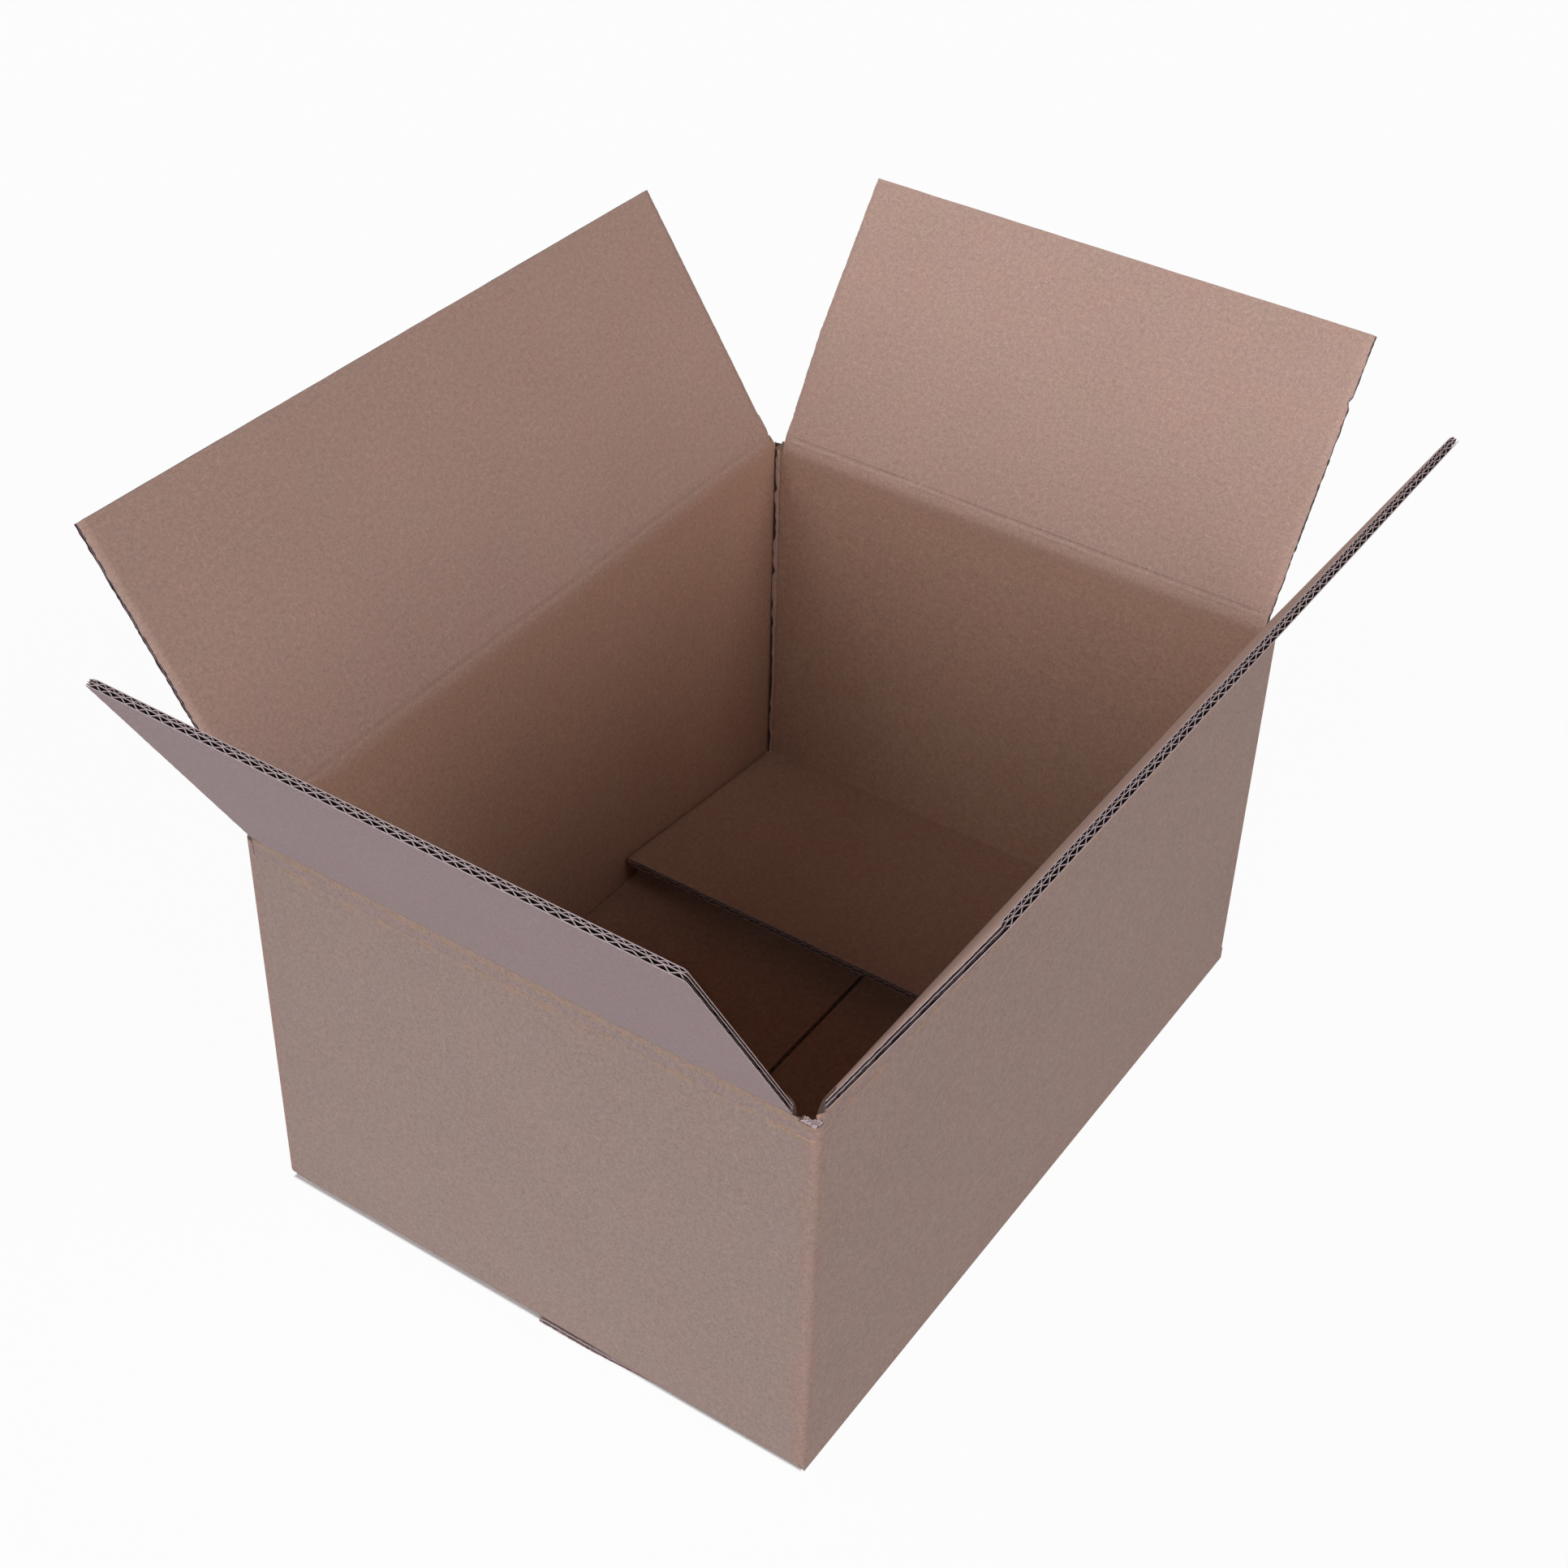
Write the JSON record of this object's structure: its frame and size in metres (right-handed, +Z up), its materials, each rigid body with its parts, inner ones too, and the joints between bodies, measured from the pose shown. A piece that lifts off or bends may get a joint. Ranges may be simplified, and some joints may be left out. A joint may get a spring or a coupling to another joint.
{
  "type": "cardboard box",
  "caption": "Open double-wall corrugated shipping box with hinged top flaps, untaped base flaps and a glued corner joint.",
  "frame": {"origin": "middle of the footprint, on the plane the box stands on", "axes": "+Z up, +X along the long walls to the right seen from the front, front long wall at -Y"},
  "size_m": [0.6821, 0.5436, 0.4239],
  "materials": {
    "kraft_board": "matte uncoated kraft liner"
  },
  "bodies": {
    "carton": {"carton_body": "kraft_board"},
    "top_flap_front_body": {"top_flap_front": "kraft_board"},
    "top_flap_back_body": {"top_flap_back": "kraft_board"},
    "top_flap_left_body": {"top_flap_left": "kraft_board"},
    "top_flap_right_body": {"top_flap_right": "kraft_board"},
    "base_flap_front_body": {"base_flap_front": "kraft_board"},
    "base_flap_back_body": {"base_flap_back": "kraft_board"}
  },
  "joints": [
    {"name": "top_flap_front_crease", "type": "hinge", "parent": "carton", "child": "top_flap_front_body", "pos_m": [0, -0.18015, 0.26615], "axis": [1, 0, 0], "range_deg": [-118, 132]},
    {"name": "top_flap_back_crease", "type": "hinge", "parent": "carton", "child": "top_flap_back_body", "pos_m": [0, 0.18015, 0.26615], "axis": [-1, 0, 0], "range_deg": [-125, 125]},
    {"name": "top_flap_left_crease", "type": "hinge", "parent": "carton", "child": "top_flap_left_body", "pos_m": [-0.24615, 0, 0.26095], "axis": [0, -1, 0], "range_deg": [-120, 130]},
    {"name": "top_flap_right_crease", "type": "hinge", "parent": "carton", "child": "top_flap_right_body", "pos_m": [0.24615, 0, 0.26095], "axis": [0, 1, 0], "range_deg": [-125, 125]},
    {"name": "base_flap_front_crease", "type": "hinge", "parent": "carton", "child": "base_flap_front_body", "pos_m": [0, -0.18015, -0.00015], "axis": [-1, 0, 0], "range_deg": [0, 220]},
    {"name": "base_flap_back_crease", "type": "hinge", "parent": "carton", "child": "base_flap_back_body", "pos_m": [0, 0.18015, -0.00015], "axis": [1, 0, 0], "range_deg": [0, 220]}
  ]
}
